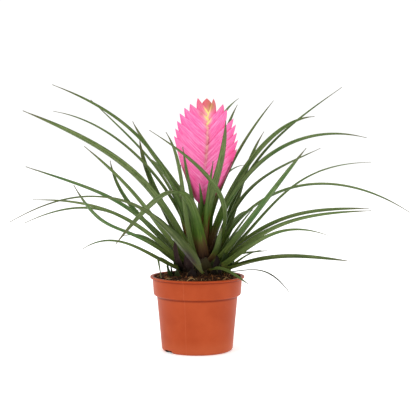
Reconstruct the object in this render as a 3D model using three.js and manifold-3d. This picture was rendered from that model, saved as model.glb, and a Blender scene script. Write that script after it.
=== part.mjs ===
// A pink quill plant in its nursery pot: the pot, the peat, the leafy stem and the flat flower head.
// Millimetres and degrees. +X is right, +Y is away from the front, +Z is up.
// The origin is at the middle of the pot's flat underside.

import * as THREE from 'three';
import { mergeVertices } from 'three/addons/utils/BufferGeometryUtils.js';
import Module from 'manifold-3d';

const wasm = await Module();
wasm.setup();

// ---------------------------------------------------------------- driving dimensions

const gap = 0.3;

const pot = {
  height: 71,
  wall: 1.1,
  floor: 1.6,
  footRadius: 34,
  footRound: 3,
  bodyTopRadius: 38.5,
  bandFoot: 53.6,
  bandFootRadius: 41.7,
  bandTopRadius: 42.7,
  lipRadius: 45,
  lipDepth: 1.9,
  segments: 56,
};
const slots = { count: 2, firstAzimuth: 216, width: 11, height: 2.6, inset: 4.5 };

const soil = { wallHeight: 70.1, crownHeight: 72.6, lump: 0.8, segments: 40, rings: 5 };

const plant = { x: 5.4 };
const crown = {
  bottom: 58,
  rootRadius: 21.5,
  shoulderHeight: 74,
  bulgeRadius: 23,
  bulgeHeight: 76,
  waistRadius: 10,
  waistHeight: 87,
  neckHeight: 100,
};
const stalk = { radius: 3.4, top: 138.3 };

// Where the leaves leave the crown: the flattest ones low and outside, the steepest high and inside.
const leafRoot = {
  flatLaunch: 30,
  steepLaunch: 90,
  lowRadius: 21,
  highRadius: 5,
  lowHeight: 75.5,
  highHeight: 88,
};
const leafShape = {
  steps: 11,
  thickness: 1.5,
  rootChannel: 0.34,
  tipChannel: 0.2,
  sheathFlare: 0.9,
  widestSheath: 6,
  sheathLength: 16,
  taper: 0.38,
  tipTaperPower: 9,
  rollFrom: 0.3,
};

// One row a leaf: azimuth where it leaves the crown (0 is +X, 90 is +Y, 270 is the front), how far
// it turns sideways by its tip, blade width, roll about its own length, launch angle over the
// horizon, reach from the plant's axis to the tip, height of the tip, angle of the tip over the
// horizon, and bow of the arch.
const leaves = [
  // left, from high to low
  [176, 30, 7, 25, 79, 148, 249, 19, 0.42],
  [160, 0, 5, -15, 77, 118, 240, 42, 0.42],
  [168, 0, 6, -15, 78, 150, 228, 10, 0.35],
  [203, 0, 9, 40, 66, 173, 226, 22, 0.42],
  [140, 0, 7, -25, 100, 93, 219, 57, 0.33],
  [151, 15, 9.5, -25, 58, 63, 201, 92, 0.26],
  [215, 0, 6, 25, 49, 127, 195, 37, 0.39],
  [152, 0, 6.5, -25, 43, 105, 180, 79, 0.33],
  [190, 15, 8, 25, 50, 172, 177, 20, 0.46],
  [200, 30, 6, 25, 40, 166, 163, 43, 0.5],
  [210, 0, 6.5, 25, 42, 171, 148, 2, 0.43],
  [158, 15, 5.5, -25, 40, 176, 119, -26, 0.46],
  [200, 0, 5.5, 25, 24, 118, 100, -31, 0.39],
  [149, 0, 4.5, 0, 43, 45, 113, 56, 0.38],
  // front, among them the broad leaf that arches over to the left and the one across the head
  [270, -48, 7, 0, 4, 213, 132, -33, 0.61],
  [252, -11, 11, 0, 76, 149, 113, -34, 0.65],
  [355, -120, 5.5, 0, 67, 83, 209, 71, 0.35],
  [240, 0, 5, 10, 58, 66, 207, 40, 0.34],
  [240, 0, 5, 0, 84, 37, 194, 75, 0.33],
  [262, 0, 4.5, 0, 100, 25, 160, 50, 0.43],
  [285, 0, 4.5, 0, 87, 36, 181, 65, 0.4],
  [296, 0, 9.5, 0, 100, 48, 218, 90, 0.39],
  [318, 0, 8.5, 0, 60, 24, 118, 85, 0.4],
  [196, 0, 9, 0, 71, 25, 139, 78, 0.4],
  [352, 0, 8, 0, 60, 50, 138, 52, 0.4],
  [198, 40, 2.5, 0, 31, 71, 76, -57, 0.59],
  [286, 20, 4, 20, 31, 70, 71, -33, 0.4],
  // right, from high to low
  [22, 0, 5.5, 12, 71, 150, 253, 33, 0.46],
  [50, -20, 6.5, 0, 94, 80, 239, 54, 0.29],
  [20, 0, 7, 40, 83, 117, 223, 2, 0.3],
  [6, 0, 8.5, 25, 80, 159, 202, -13, 0.42],
  [318, 0, 7.5, -25, 47, 122, 193, 45, 0.38],
  [35, 0, 6, 12, 68, 147, 192, 20, 0.45],
  [18, 0, 6, 0, 46, 177, 178, 1, 0.44],
  [346, 0, 7, 15, 68, 194, 134, -32, 0.45],
  [334, 15, 8.5, -25, 42, 159, 135, 4, 0.45],
  [354, -30, 8.5, 25, 49, 176, 142, 6, 0.41],
  [318, 0, 7.5, -15, 33, 146, 118, -12, 0.42],
  [328, 0, 8, 25, 21, 153, 94, -1, 0.44],
  [345, 0, 3.5, -12, 30, 57, 97, 13, 0.4],
  [30, 0, 4.5, 12, 43, 74, 91, 7, 0.39],
  [318, 0, 3, 12, 6, 103, 65, -44, 0.46],
  // behind the head
  [75, 0, 5, 0, 91, 147, 245, 12, 0.5],
  [65, 0, 6, 0, 77, 82, 236, 37, 0.35],
  [51, 0, 7, 0, 47, 99, 209, 44, 0.4],
  [55, 0, 4.5, 0, 95, 73, 175, 0, 0.4],
  [120, 0, 6, 0, 62, 45, 176, 90, 0.39],
  [84, 0, 8, 10, 56, 155, 158, -12, 0.4],
  [92, 0, 8, -15, 66, 140, 188, 6, 0.38],
  [101, 0, 8, 10, 40, 160, 138, -18, 0.4],
  [117, 0, 8, -10, 64, 130, 182, 14, 0.38],
  [128, 0, 7, 15, 44, 112, 128, 0, 0.38],
  [147, 0, 7, -15, 25, 96, 104, -14, 0.38],
  [62, 0, 8, 0, 36, 112, 126, -8, 0.4],
  [84, 0, 7, 12, 20, 132, 90, -26, 0.4],
  [112, 0, 7, -12, 18, 124, 88, -24, 0.38],
];

// Short dead sheaths in a ring round the crown's foot, every other one lower.
const oldSheaths = {
  count: 10,
  steps: 4,
  firstAzimuth: 24,
  width: 9,
  launch: 30,
  reach: 29,
  height: 100,
  lowerBy: 8,
  tipAngle: 80,
  bow: 0.4,
};

// The flat flower head: one row a bract, top to bottom, as sideways and up from the head's foot to
// the tip, and how far the outer edge spreads outward some way below the tip.
const head = {
  foot: 138.6,
  coreRadius: 2.6,
  coreTop: 90,
  lean: 3.3,
  leanFrom: 18,
  leanTo: 46,
  halfThickness: 4.6,
  step: 0.9,
  edge: 0.45,
  marginSlope: 0.9,
  marginDrop: 14,
  keelDrop: 22,
  spreadBelow: 10,
};
const leftBracts = [
  [-8.1, 101.2, 4.6], [-15.4, 95.7, 3.4], [-20.9, 92, 1.4], [-25.3, 86.7, 0.2], [-27.8, 79.6, 0],
  [-29.6, 72.5, -1.2], [-30.8, 65.4, -2], [-28.6, 55.5, -2.2], [-25.8, 46.5, -3.6],
  [-22, 36, -4.2], [-17.6, 26.5, -4.4], [-13, 17, -4.4],
];
const rightBracts = [
  [6.6, 100.5, 5.2], [15.8, 95.3, 2.4], [19.2, 90.2, 0.6], [25.8, 82, -1.4], [28, 76.3, -1.2],
  [29, 68.7, -1.6], [30, 61.6, -2.4], [29.2, 53.1, -3], [26.2, 44, -4.6], [22, 35.5, -5],
  [17.2, 27, -5], [12.4, 18, -4.6],
];
const crest = { tip: [0.4, 100.8], halfWidth: 6.5, depth: 24 };

// ---------------------------------------------------------------- solids from triangles

const degrees = THREE.MathUtils.degToRad;

function solidOf(geometry) {
  geometry.deleteAttribute('normal');
  geometry.deleteAttribute('uv');
  const merged = mergeVertices(geometry, 1e-4);
  return new wasm.Manifold(new wasm.Mesh({
    numProp: 3,
    vertProperties: new Float32Array(merged.attributes.position.array),
    triVerts: new Uint32Array(merged.index.array),
  }));
}

function geometryOf(solid) {
  const mesh = solid.getMesh();
  const geometry = new THREE.BufferGeometry();
  geometry.setAttribute('position', new THREE.BufferAttribute(mesh.vertProperties, 3));
  geometry.setIndex(new THREE.BufferAttribute(mesh.triVerts, 1));
  return geometry;
}

function facesToGeometry(points, faces) {
  const geometry = new THREE.BufferGeometry();
  geometry.setAttribute('position', new THREE.Float32BufferAttribute(points.flat(), 3));
  geometry.setIndex(faces.flat());
  return geometry;
}

function signedVolume(points, faces) {
  const corner = (i) => new THREE.Vector3(...points[i]);
  return faces.reduce((sum, [a, b, c]) => sum + corner(a).dot(corner(b).cross(corner(c))) / 6, 0);
}

// A closed body from its faces, turned so that they look outward.
function bodyFromFaces(points, faces) {
  const outward = signedVolume(points, faces) > 0;
  return solidOf(facesToGeometry(points, outward ? faces : faces.map(([a, b, c]) => [a, c, b])));
}

function lathe(profile, segments) {
  const turned = new THREE.LatheGeometry(profile.map(([r, z]) => new THREE.Vector2(r, z)), segments);
  turned.rotateX(Math.PI / 2);
  const merged = mergeVertices(turned.deleteAttribute('normal').deleteAttribute('uv'), 1e-4);
  const points = [];
  for (let i = 0; i < merged.attributes.position.count; i += 1) {
    points.push(new THREE.Vector3().fromBufferAttribute(merged.attributes.position, i).toArray());
  }
  const faces = [];
  for (let i = 0; i < merged.index.count; i += 3) {
    const face = [0, 1, 2].map((k) => merged.index.getX(i + k));
    if (new Set(face).size === 3) faces.push(face);
  }
  return bodyFromFaces(points, faces);
}

// The largest body of a union, without loose scraps.
function largestBody(solid) {
  return solid.decompose().sort((a, b) => b.volume() - a.volume())[0];
}

function joinAll(solids) {
  return largestBody(wasm.Manifold.union(solids));
}

function named(name, solid, colour, roughness) {
  const material = new THREE.MeshStandardMaterial({ color: colour, roughness, metalness: 0 });
  const mesh = new THREE.Mesh(geometryOf(solid), material);
  mesh.name = name;
  return mesh;
}

// ---------------------------------------------------------------- pot

function potProfile() {
  const { height, wall, floor, footRadius, footRound, bodyTopRadius, bandFoot } = pot;
  const { bandFootRadius, bandTopRadius, lipRadius, lipDepth } = pot;
  const foot = [0, 30, 60, 90].map((angle) => [
    footRadius - footRound + footRound * Math.sin(degrees(angle)),
    footRound - footRound * Math.cos(degrees(angle)),
  ]);
  const underLip = height - lipDepth;
  const outside = [
    [0, 0],
    ...foot,
    [bodyTopRadius, bandFoot - 2.2],
    [bodyTopRadius + 0.5, bandFoot - 1.4],
    [bandFootRadius - 0.7, bandFoot - 0.4],
    [bandFootRadius, bandFoot + 0.9],
    [bandTopRadius, underLip - 0.9],
    [lipRadius - 0.6, underLip],
    [lipRadius, underLip + 0.5],
    [lipRadius, height - 0.5],
    [lipRadius - 0.5, height],
  ];
  const inside = [
    [bandTopRadius - wall + 0.5, height],
    [bandTopRadius - wall, height - 0.7],
    [bandFootRadius - wall, bandFoot + 0.9],
    [bandFootRadius - wall - 0.8, bandFoot - 0.1],
    [bodyTopRadius - wall, bandFoot - 1.2],
    [bodyTopRadius - wall - 0.1, bandFoot - 2.6],
    [footRadius - wall, footRound + 0.4],
    [footRadius - wall - 1.6, floor],
    [0, floor],
  ];
  return [...outside, ...inside];
}

function boxBetween(low, high) {
  const size = high.map((value, axis) => value - low[axis]);
  const box = new THREE.BoxGeometry(...size);
  box.translate(...low.map((value, axis) => value + size[axis] / 2));
  return box;
}

function potSolid() {
  let body = lathe(potProfile(), pot.segments);
  for (let i = 0; i < slots.count; i += 1) {
    const notch = boxBetween(
      [pot.footRadius - slots.inset, -slots.width / 2, -1],
      [pot.footRadius + 2, slots.width / 2, slots.height],
    );
    notch.rotateZ(degrees(slots.firstAzimuth + (360 / slots.count) * i));
    body = body.subtract(solidOf(notch));
  }
  return body;
}

// ---------------------------------------------------------------- peat

// A plug that follows the pot's inside, with a lumpy top that rises to the crown and a plain hole
// for the crown's root.
function soilSolid() {
  const { segments, rings } = soil;
  const holeRadius = crown.rootRadius + gap;
  const holeBottom = crown.bottom - gap;
  const topRadius = pot.bandTopRadius - pot.wall - gap - 0.1;
  const underRadius = pot.footRadius - pot.wall - 1.8 - gap;
  const sideRings = [
    [topRadius - 1, soil.wallHeight - 3],
    [pot.bandFootRadius - pot.wall - gap - 0.1, pot.bandFoot + 1.4],
    [pot.bodyTopRadius - pot.wall - gap - 0.2, pot.bandFoot + 0.6],
    [pot.footRadius - pot.wall - gap - 0.2, pot.footRound + 1.2],
    [underRadius, pot.floor + gap],
  ];
  const points = [];
  const ringStarts = [];
  const addRing = (radius, heightAt, offsetX) => {
    ringStarts.push(points.length);
    for (let k = 0; k < segments; k += 1) {
      const angle = (2 * Math.PI * k) / segments;
      const x = offsetX + radius * Math.cos(angle);
      const y = radius * Math.sin(angle);
      points.push([x, y, heightAt(x, y)]);
    }
  };
  addRing(holeRadius, () => holeBottom, plant.x);
  for (let ring = 0; ring <= rings; ring += 1) {
    const share = ring / rings;
    const radius = THREE.MathUtils.lerp(holeRadius, topRadius, share);
    const rise = THREE.MathUtils.lerp(soil.crownHeight, soil.wallHeight, share ** 1.4);
    const level = ring === rings ? () => rise - 1 : (x, y) => rise + soil.lump * lumps(x, y);
    addRing(radius, level, plant.x * (1 - share));
  }
  for (const [radius, height] of sideRings) addRing(radius, () => height, 0);
  const holeMiddle = points.push([plant.x, 0, holeBottom]) - 1;
  const underMiddle = points.push([0, 0, pot.floor + gap]) - 1;
  const faces = [];
  for (let k = 0; k < segments; k += 1) {
    const next = (k + 1) % segments;
    for (let ring = 0; ring + 1 < ringStarts.length; ring += 1) {
      const [a, b] = [ringStarts[ring], ringStarts[ring + 1]];
      faces.push([a + k, b + k, b + next], [a + k, b + next, a + next]);
    }
    faces.push([holeMiddle, ringStarts[0] + k, ringStarts[0] + next]);
    faces.push([underMiddle, ringStarts.at(-1) + next, ringStarts.at(-1) + k]);
  }
  return bodyFromFaces(points, faces);
}

function lumps(x, y) {
  return Math.sin(0.55 * x + 1.3) * Math.cos(0.47 * y - 0.4) + 0.5 * Math.sin(0.9 * (x + y));
}

// ---------------------------------------------------------------- leafy stem

function bezier(controls, t) {
  const [a, b, c, d] = controls;
  const u = 1 - t;
  return new THREE.Vector3()
    .addScaledVector(a, u ** 3)
    .addScaledVector(b, 3 * u * u * t)
    .addScaledVector(c, 3 * u * t * t)
    .addScaledVector(d, t ** 3);
}

function polar(azimuth, radius, height) {
  const angle = degrees(azimuth);
  return new THREE.Vector3(plant.x + radius * Math.cos(angle), radius * Math.sin(angle), height);
}

function leafControls([azimuth, turn, , , launch, reach, height, tipAngle, bow]) {
  const { flatLaunch, steepLaunch, lowRadius, highRadius, lowHeight, highHeight } = leafRoot;
  const steepness = THREE.MathUtils.clamp((launch - flatLaunch) / (steepLaunch - flatLaunch), 0, 1);
  const rootRadius = THREE.MathUtils.lerp(lowRadius, highRadius, steepness);
  const rootHeight = THREE.MathUtils.lerp(lowHeight, highHeight, steepness);
  const handle = bow * Math.hypot(reach - rootRadius, height - rootHeight);
  const [start, end] = [degrees(launch), degrees(tipAngle)];
  return [
    polar(azimuth, rootRadius, rootHeight),
    polar(azimuth, rootRadius + handle * Math.cos(start), rootHeight + handle * Math.sin(start)),
    polar(azimuth + turn / 2, reach - handle * Math.cos(end), height - handle * Math.sin(end)),
    polar(azimuth + turn, reach, height),
  ];
}

// Blade width along the leaf: a flared sheath, then a long taper to a fine point.
function leafWidth(blade, t, walked) {
  const { sheathFlare, widestSheath, sheathLength, taper, tipTaperPower } = leafShape;
  const sheath = Math.min(sheathFlare * blade, widestSheath) * Math.exp(-walked / sheathLength);
  return blade * (1 - taper * t) * (1 - t ** tipTaperPower) + sheath;
}

// A channelled blade: four corners a ring (left edge, keel top, right edge, keel bottom) and a tip.
function leafSolid(row, steps = leafShape.steps) {
  const [azimuth, turn, blade, roll] = row;
  const controls = leafControls(row);
  const { thickness, rootChannel, tipChannel, rollFrom } = leafShape;
  const points = [];
  const length = controls[0].distanceTo(controls[3]);
  for (let i = 0; i < steps; i += 1) {
    const t = i / steps;
    const middle = bezier(controls, t);
    const along = bezier(controls, t + 0.01).sub(bezier(controls, Math.max(t - 0.01, 0))).normalize();
    const facing = degrees(azimuth + turn * t);
    const side = new THREE.Vector3(-Math.sin(facing), Math.cos(facing), 0);
    side.addScaledVector(along, -side.dot(along)).normalize();
    side.applyAxisAngle(along, degrees(roll) * Math.min(t / rollFrom, 1));
    const up = new THREE.Vector3().crossVectors(along, side);
    const width = leafWidth(blade, t, t * length);
    const channel = THREE.MathUtils.lerp(rootChannel, tipChannel, t);
    const half = THREE.MathUtils.lerp(thickness, 0.8, t) / 2;
    const corner = (across, lift) =>
      middle.clone().addScaledVector(side, across).addScaledVector(up, lift).toArray();
    points.push(
      corner(-width / 2, channel * width),
      corner(0, half),
      corner(width / 2, channel * width),
      corner(0, -half),
    );
  }
  const tip = points.push(controls[3].toArray()) - 1;
  const faces = [[0, 1, 2], [0, 2, 3]];
  for (let i = 0; i + 1 < steps; i += 1) {
    const [left, top, right, bottom] = [0, 1, 2, 3].map((k) => 4 * i + k);
    const [left2, top2, right2, bottom2] = [4, 5, 6, 7].map((k) => 4 * i + k);
    faces.push([left, left2, top], [top, left2, top2]);
    faces.push([top, right2, right], [top, top2, right2]);
    faces.push([right, right2, bottom], [bottom, right2, bottom2]);
    faces.push([bottom, left2, left], [bottom, bottom2, left2]);
  }
  const last = 4 * (steps - 1);
  for (let k = 0; k < 4; k += 1) faces.push([last + k, tip, last + ((k + 1) % 4)]);
  return bodyFromFaces(points, faces);
}

function crownSolid() {
  const { bottom, rootRadius, shoulderHeight, bulgeRadius, bulgeHeight } = crown;
  const { waistRadius, waistHeight, neckHeight } = crown;
  const profile = [
    [0, bottom], [rootRadius - 1.5, bottom], [rootRadius, bottom + 2],
    [rootRadius, shoulderHeight], [bulgeRadius, bulgeHeight],
    [waistRadius, waistHeight], [stalk.radius + 1.6, neckHeight],
    [stalk.radius, neckHeight + 6], [stalk.radius - 0.6, stalk.top - 1], [0, stalk.top],
  ];
  return lathe(profile, 18).translate(plant.x, 0, 0);
}

function oldSheathRow(k) {
  const { count, firstAzimuth, width, launch, reach, height, lowerBy, tipAngle, bow } = oldSheaths;
  const azimuth = firstAzimuth + (360 / count) * k;
  return [azimuth, 0, width, 0, launch, reach, height - lowerBy * (k % 2), tipAngle, bow];
}

function rosetteSolid() {
  const grownLeaves = leaves.map((row) => leafSolid(row));
  const sheathAt = (_, k) => leafSolid(oldSheathRow(k), oldSheaths.steps);
  return joinAll([crownSolid(), ...grownLeaves, ...Array.from({ length: oldSheaths.count }, sheathAt)]);
}

// ---------------------------------------------------------------- flower head

// The head's own axis leans a little to the right between two heights.
function headAxis(v) {
  return head.lean * THREE.MathUtils.smoothstep(v, head.leanFrom, head.leanTo);
}

function mix(from, to, share) {
  return from.map((value, axis) => THREE.MathUtils.lerp(value, to[axis], share));
}

function curve2(a, b, c, d, t) {
  return mix(mix(mix(a, b, t), mix(b, c, t), t), mix(mix(b, c, t), mix(c, d, t), t), t);
}

// A keeled bract: its keel bulges out and runs up to the tip, and its margin runs back down to the
// middle line of the head. The faces swell from the thin keel to the margin.
function bractSolid(keelAt, marginAt, swellAt) {
  const [steps, rows] = [5, 2];
  const points = [];
  const place = ([u, v], y) => points.push([plant.x + u, y, head.foot + v]) - 1;
  const grid = (sign) => {
    const lines = [];
    for (let i = 0; i < steps; i += 1) {
      const line = [];
      for (let j = 0; j <= rows; j += 1) {
        const [s, t] = [i / steps, j / rows];
        line.push(place(mix(keelAt(s), marginAt(s), t), sign * swellAt(s, t)));
      }
      lines.push(line);
    }
    return { lines, tip: place(keelAt(1), sign * head.edge) };
  };
  const [front, back] = [grid(-1), grid(1)];
  const faces = [];
  for (let i = 0; i < steps; i += 1) {
    for (const [side, flip] of [[front, false], [back, true]]) {
      for (let j = 0; j < rows; j += 1) {
        const [a, b] = [side.lines[i][j], side.lines[i][j + 1]];
        const next = side.lines[i + 1];
        const pair = next ? [[a, b, next[j + 1]], [a, next[j + 1], next[j]]] : [[a, b, side.tip]];
        faces.push(...pair.map((face) => (flip ? face.toReversed() : face)));
      }
    }
    for (const [j, flip] of [[0, true], [rows, false]]) {
      const [a, b] = [front.lines[i][j], back.lines[i][j]];
      const c = front.lines[i + 1]?.[j] ?? front.tip;
      const d = back.lines[i + 1]?.[j] ?? back.tip;
      const pair = [[a, b, d], [a, d, c]];
      faces.push(...pair.map((face) => (flip ? face.toReversed() : face)));
    }
  }
  for (let j = 0; j < rows; j += 1) {
    const [a, b] = [front.lines[0][j], front.lines[0][j + 1]];
    const [c, d] = [back.lines[0][j], back.lines[0][j + 1]];
    faces.push([a, c, d], [a, d, b]);
  }
  return bodyFromFaces(points, faces);
}

// The head's thickness: full along its middle line, thinner towards its rim and its two ends.
function envelope([u, v]) {
  const across = THREE.MathUtils.clamp((u - headAxis(v)) / 31, -1, 1);
  const upper = 1 - 0.45 * THREE.MathUtils.smoothstep(v, 60, 100);
  const lower = 0.62 + 0.38 * THREE.MathUtils.smoothstep(v, 0, 35);
  return head.halfThickness * upper * lower * (1 - 0.75 * across * across);
}

function sideBract([tipU, tipV, spread]) {
  const side = Math.sign(tipU);
  const tip = [tipU + head.lean, tipV];
  const marginV = tipV - Math.max(head.marginSlope * Math.abs(tipU), head.marginDrop);
  const keelV = Math.max(marginV - head.keelDrop, 0);
  const keel = [
    [headAxis(keelV), keelV],
    [headAxis(keelV) + 0.55 * tipU, keelV + 0.06 * (tipV - keelV)],
    [tip[0] + side * spread, tipV - head.spreadBelow],
    tip,
  ];
  const margin = [
    [headAxis(marginV) - 1.2 * side, Math.max(marginV, keelV + 3)],
    [headAxis(marginV) + 0.3 * tipU, marginV + 0.34 * (tipV - marginV)],
    [head.lean + 0.72 * tipU, tipV - 0.3 * (tipV - marginV)],
    tip,
  ];
  const keelAt = (s) => curve2(...keel, s);
  const marginAt = (s) => curve2(...margin, s);
  const swellAt = (s, t) => {
    const rim = Math.max(envelope(marginAt(s)) + head.step * (1 - s * s), head.edge);
    return THREE.MathUtils.lerp(head.edge, rim, t ** 0.7);
  };
  return bractSolid(keelAt, marginAt, swellAt);
}

// The crest at the very top: one upright bract seen from its side.
function crestBract() {
  const [tipU, tipV] = [crest.tip[0] + head.lean, crest.tip[1]];
  const foot = [head.lean, tipV - crest.depth];
  const edgeAt = (side) => (s) =>
    curve2(
      foot,
      [tipU + side * crest.halfWidth, tipV - 0.6 * crest.depth],
      [tipU + side * crest.halfWidth * 1.3, tipV - 0.25 * crest.depth],
      [tipU, tipV],
      s,
    );
  const swellAt = (s, t) => head.edge + 1.6 * (1 - s) * Math.sin(Math.PI * t);
  return bractSolid(edgeAt(-1), edgeAt(1), swellAt);
}

function headCore() {
  const { coreRadius, coreTop } = head;
  const profile = [
    [0, 0], [coreRadius + 0.6, 0], [coreRadius + 0.9, 8], [coreRadius, 40], [1.2, coreTop], [0, coreTop],
  ];
  return lathe(profile, 10);
}

function headSolid() {
  const core = headCore().warp((vertex) => {
    vertex[0] += plant.x + headAxis(vertex[2]);
    vertex[2] += head.foot;
  });
  return joinAll([core, ...leftBracts.map(sideBract), ...rightBracts.map(sideBract), crestBract()]);
}

// ---------------------------------------------------------------- assembly

const plantInPot = new THREE.Group();
plantInPot.add(named('pot', potSolid(), 0xc45634, 0.55));
plantInPot.add(named('potting_soil', soilSolid(), 0x3a281c, 0.95));

const grown = new THREE.Group();
grown.add(named('leaf_rosette', rosetteSolid(), 0x4f7339, 0.55));
grown.add(named('flower_head', headSolid(), 0xf76fb4, 0.6));
plantInPot.add(grown);

export default plantInPot;
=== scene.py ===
"""The looks of a pink quill plant in its nursery pot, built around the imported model.

Lengths inside this script are in millimetres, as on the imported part, and become metres when a
mesh is made. +X is right, +Y is away from the camera, +Z is up, and the origin is at the middle
of the pot's underside.
"""
import random
from collections import namedtuple
from math import copysign, cos, exp, hypot, pi, radians, sin
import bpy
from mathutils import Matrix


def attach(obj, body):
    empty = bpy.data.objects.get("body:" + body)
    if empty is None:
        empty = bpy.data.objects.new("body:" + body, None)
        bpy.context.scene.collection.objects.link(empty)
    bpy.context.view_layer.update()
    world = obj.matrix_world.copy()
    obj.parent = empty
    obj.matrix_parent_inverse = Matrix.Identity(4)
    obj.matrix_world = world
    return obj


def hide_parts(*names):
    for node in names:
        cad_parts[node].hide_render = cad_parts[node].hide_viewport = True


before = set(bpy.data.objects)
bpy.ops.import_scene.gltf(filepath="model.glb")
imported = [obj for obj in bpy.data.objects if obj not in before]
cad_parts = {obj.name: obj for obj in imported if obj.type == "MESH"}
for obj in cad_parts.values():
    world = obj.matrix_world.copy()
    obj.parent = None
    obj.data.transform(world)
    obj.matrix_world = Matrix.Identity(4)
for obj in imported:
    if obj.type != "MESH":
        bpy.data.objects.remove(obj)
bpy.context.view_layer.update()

from types import SimpleNamespace as Sizes

import bmesh
import bpy
import numpy as np
from mathutils import Matrix, Quaternion, Vector, noise

MM = 0.001
ROOT = "root"

# ---- sizes shared with the part

POT = Sizes(height=71, wall=1.1, floor=1.6, foot_radius=34, foot_round=3, body_top=38.5,
            band_foot=53.6, band_foot_radius=41.7, band_top_radius=42.7, lip_radius=45, lip_depth=1.9)
POT_INSIDE = POT.band_top_radius - POT.wall
SLOTS = Sizes(count=2, first_azimuth=216, width=11, height=2.6, inset=4.5, corner=0.8)
MOULD_LINE = Sizes(azimuth=253, half_width=0.5)
PLANT_X = 5.4
CROWN = Sizes(bottom=58, root_radius=21.5, shoulder=74, bulge_radius=23, bulge_height=76,
              waist_radius=10, waist_height=87, neck=100)
STALK = Sizes(radius=3.4, top=138.3)

# ---- peat

# The plug's surface: a low mound with a skirt heaped against the plant, and clods and lumps on it.
SOIL = Sizes(wall_height=70.1, crown_height=72.6, mound_power=1.4, skirt=4.2, skirt_from=22, skirt_to=31,
             clod=1.1, clod_scale=0.16, lump=0.8, lump_scale=0.55, edge_drop=1.3, edge_reach=3,
             wall_gap=0.35, rings=72, segments=230)
FIBRES = Sizes(count=230, nearest=15, from_wall=2.5, crowding=0.6, bend=0.5, length=(3, 12),
               hump=(0.1, 1.6), radius=(0.12, 0.36), steps=7)
CRUMBS = Sizes(count=560, nearest=16, from_wall=2.2, crowding=0.6, long=(0.6, 2.1), wide=(0.5, 1.4),
               high=(0.4, 1.1), tilt=0.8, unevenness=0.5, sunk=0.3, tone_power=1.3)
# Pale fibres that stand in an arch: where both ends meet the peat, the arch's height, the thickness.
ARCHED_FIBRES = [
    (((-9.5, -38), (-0.5, -36)), 3.0, 0.42), (((-30, -24), (-24, -29)), 2.2, 0.3),
    (((24, -30), (31, -24)), 2.0, 0.3), (((14, 33), (22, 30)), 2.4, 0.35),
]

# ---- leaves

LEAF_ROOT = Sizes(flat_launch=30, steep_launch=90, low_radius=21, high_radius=5, low_height=75.5,
                  high_height=88)
LEAF = Sizes(root_channel=0.34, tip_channel=0.2, channel_power=1.25, sheath_flare=0.9,
             widest_sheath=6.6, sheath_length=21, taper=0.38, tip_taper_power=9, finest_tip=0.8,
             roll_from=0.3, thickness=0.7, tip_thickness=0.4, edge_thinning=0.7, sway=0.7, steps=52,
             ribs=10, end=0.997)

# The old flat leaf at the front: narrow where it lies near the peat, widest where it rises, and
# drawn aside on its way. A leaf counts as old up to one launch angle and as young from another.
OLD_LEAF = Sizes(root_share=0.5, narrow_to=34, full_at=66, swell=4.2, swell_at=80, swell_reach=36,
                 shift=-3.2, shift_at=108, shift_reach=42, old_launch=8, young_launch=24,
                 narrow_blade=4, broad_blade=7)

# How high up a leaf the sheath's colour reaches, by its launch angle, as a share of its pace.
STAIN = Sizes(flat=0.1, steep=0.42, flat_launch=45, steep_launch=95, vary=0.2, rusty=0.44, short=0.36)
# The bright green of the inner leaves' bases begins and is full at these launch angles.
INNER_LAUNCH = (60, 88)
# The length in which a leaf's colours run their course, and that of the short green leaves.
PACE = 80
SHORT_PACE = 36
# Azimuths of the leaves whose sheaths turn rust red.
RUSTY = (196, 296)
# Azimuths of the short leaves that are green down to a dark foot, and the reach that they stay under.
GREEN_SHORT = (318, 352)
SHORT_REACH = 60

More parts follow.
